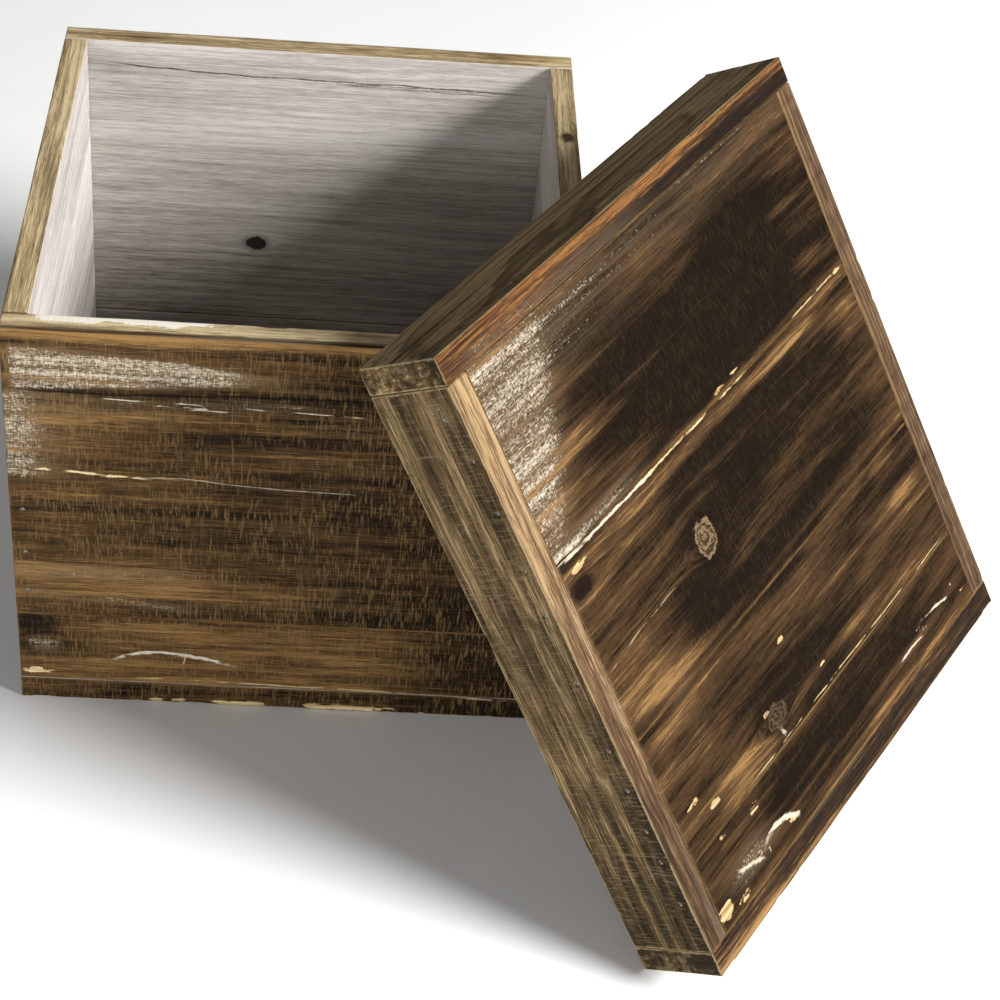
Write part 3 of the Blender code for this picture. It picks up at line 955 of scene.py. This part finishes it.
def nail_mesh():
    """A wire nail along -Z, the top of its flattened, chamfered head at the origin."""
    head, shank = NAIL_HEAD_RADIUS, NAIL_SHANK_RADIUS
    rings = (
        (0.35 * head, -0.10 * MM),
        (0.62 * head, 0.0),
        (0.86 * head, -0.02 * MM),
        (head, -0.16 * MM),
        (head, -0.62 * MM),
        (0.9 * head, -NAIL_HEAD_HEIGHT),
        (shank, -NAIL_HEAD_HEIGHT - 0.1 * MM),
        (shank, -NAIL_LENGTH + 2.2 * MM),
        (0.2 * MM, -NAIL_LENGTH),
    )
    angles = [2 * math.pi * i / NAIL_SIDES for i in range(NAIL_SIDES)]
    points = [(r * math.cos(t), r * math.sin(t), z) for r, z in rings for t in angles]
    points += [(0.0, 0.0, -0.12 * MM), (0.0, 0.0, -NAIL_LENGTH)]
    faces = []
    for ring, i in itertools.product(range(len(rings) - 1), range(NAIL_SIDES)):
        j = (i + 1) % NAIL_SIDES
        upper, lower = ring * NAIL_SIDES, (ring + 1) * NAIL_SIDES
        faces.append((upper + i, lower + i, lower + j, upper + j))
    top, tip, last = len(points) - 2, len(points) - 1, (len(rings) - 1) * NAIL_SIDES
    for i in range(NAIL_SIDES):
        j = (i + 1) % NAIL_SIDES
        faces += [(top, i, j), (tip, last + j, last + i)]
    mesh = bpy.data.meshes.new("wire_nail")
    mesh.from_pydata(points, [], faces)
    data = mesh.attributes.new("grain", "FLOAT_VECTOR", "POINT")
    data.data.foreach_set("vector", np.array(points, np.float32).ravel())
    mesh.materials.append(NAIL_STEEL)
    mesh.shade_smooth()
    return mesh


NAIL = nail_mesh()

# Each surface that nails are driven into: its body, and the direction that they go in
DRIVEN = {
    "front": ("box", (0, 1, 0)),
    "back": ("box", (0, -1, 0)),
    "underside": ("box", (0, 0, 1)),
    "lid_left": ("lid", (1, 0, 0)),
    "lid_right": ("lid", (-1, 0, 0)),
    "lid_top": ("lid", (0, -1, 0)),
    "lid_foot": ("lid", (0, 1, 0)),
}


def add_nail(name, surface_name, place, node=None):
    """A nail at a place on a surface, given in the surface's coordinates."""
    surface = SURFACES[surface_name]
    surface.nails.append(place)
    body, direction = DRIVEN[surface_name]
    drive = Vector(direction)
    turn = drive.to_track_quat("-Z", "Y").to_matrix().to_4x4()
    set_in = Matrix.Translation(Vector(surface.point(place)) + drive * NAIL_SET)
    piece = placed(name, NAIL, PLACES[body] @ set_in @ turn)
    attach(piece, body)
    if node:
        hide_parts(node)


def cad_nail_surface(node):
    """The surface that a CAD nail is in; the lid's corner nails are in its top rail."""
    words = node.split("_")
    if words[0] != "lid":
        return words[0]
    return "lid_top" if words[1] == "corner" else f"lid_{words[1]}"


def nails():
    """Every CAD nail, then the nails on the sides that have none in the CAD model."""
    for node in sorted(n for n in frame["nodes"] if "_nail_" in n):
        surface_name = cad_nail_surface(node)
        low, high = local_box(node, DRIVEN[surface_name][0])
        a, b = SURFACES[surface_name].coordinates(((low + high) / 2)[None, :])
        add_nail(node + "_steel", surface_name, (a[0], b[0]), node)
    side = X_HIGH - WALL / 2
    corner = HALF_LID - 6
    panel_middle = LID_HEIGHT - 5.5
    back_heights = (205, 171, 94, 70)
    floor_depths = (-110, -72, -32, 10, 50, 88, 112)
    # name, surface, and the coordinates a and b that the row's nails are at
    rows = (
        ("back_left_extra_nail", "back", (-side,), back_heights),
        ("floor_left_nail", "underside", (-side,), floor_depths),
        ("back_right_extra_nail", "back", (side,), back_heights),
        ("floor_right_nail", "underside", (side,), floor_depths),
        ("lid_right_nail", "lid_right", (34, 66, 92, 124, 158, 190, 224, 262), (panel_middle,)),
        ("lid_foot_nail", "lid_foot", (-112, -74, -36, 4, 41, 80, 115), (panel_middle,)),
        ("lid_foot_left_corner_nail", "lid_foot", (-corner,), (9, 21, 31)),
        ("lid_foot_right_corner_nail", "lid_foot", (corner,), (9, 21, 31)),
        ("lid_top_right_corner_nail", "lid_top", (corner,), (6, 15, 27)),
    )
    for name, surface_name, a_places, b_places in rows:
        for number, place in enumerate(itertools.product(a_places, b_places), 1):
            add_nail(f"{name}_{number}", surface_name, place)


# -------- studio

# The camera, fitted to the corners of the box and the lid as the photograph shows them: over the box's
# front left, looking down and a little to the right
CAMERA_PLACE = (0.0133, -0.8741, 0.8179)
CAMERA_FORWARD = Vector((0.05143848, 0.75747027, -0.65084013))
CAMERA_DOWN = Vector((0.05240324, -0.65285228, -0.75567044))
CAMERA_LENS = 82.74
CAMERA_SHIFT = 0.055

FLOOR_HALF = 4.0
FLOOR_DROP = 0.3 * MM
WORLD_STRENGTH = 0.19
LIGHTS_AIM = (0.08, -0.05, 0.12)


def camera():
    right = (-CAMERA_DOWN).cross(-CAMERA_FORWARD).normalized()
    data = bpy.data.cameras.new("camera")
    data.lens = CAMERA_LENS
    data.sensor_width = 36.0
    data.shift_x, data.shift_y = CAMERA_SHIFT, -CAMERA_SHIFT
    turn = Matrix((right, -CAMERA_DOWN, -CAMERA_FORWARD)).transposed().to_4x4()
    bpy.context.scene.camera = placed("camera", data, Matrix.Translation(CAMERA_PLACE) @ turn)


def area_light(name, place, size, watts):
    data = bpy.data.lights.new(name, "AREA")
    data.shape = "DISK"
    data.size, data.energy = size, watts
    turn = (Vector(LIGHTS_AIM) - Vector(place)).to_track_quat("-Z", "Y").to_matrix().to_4x4()
    placed(name, data, Matrix.Translation(place) @ turn)


def studio():
    """A pale plain floor, an even white world, a soft key light from the right and a weaker fill."""
    mesh = bpy.data.meshes.new("studio_floor")
    corners = [(x * FLOOR_HALF, y * FLOOR_HALF, 0) for x, y in ((-1, -1), (1, -1), (1, 1), (-1, 1))]
    mesh.from_pydata(corners, [], [(0, 1, 2, 3)])
    g = Graph("studio_floor")
    g.shader.inputs["Base Color"].default_value = srgb(244, 244, 243)
    g.shader.inputs["Roughness"].default_value = 0.9
    mesh.materials.append(g.material)
    placed("studio_floor", mesh, Matrix.Translation((0, 0, -FLOOR_DROP)))
    world = bpy.data.worlds.new("studio")
    world.use_nodes = True
    background = world.node_tree.nodes["Background"]
    background.inputs["Color"].default_value = (1.0, 1.0, 1.0, 1.0)
    background.inputs["Strength"].default_value = WORLD_STRENGTH
    bpy.context.scene.world = world
    area_light("key", (2.0, -0.85, 1.50), 0.85, 126.0)
    area_light("fill", (-1.0, -2.4, 0.50), 1.3, 33.0)
    bpy.context.scene.view_settings.view_transform = "Standard"


nails()
box_boards()
lid_boards()
camera()
studio()
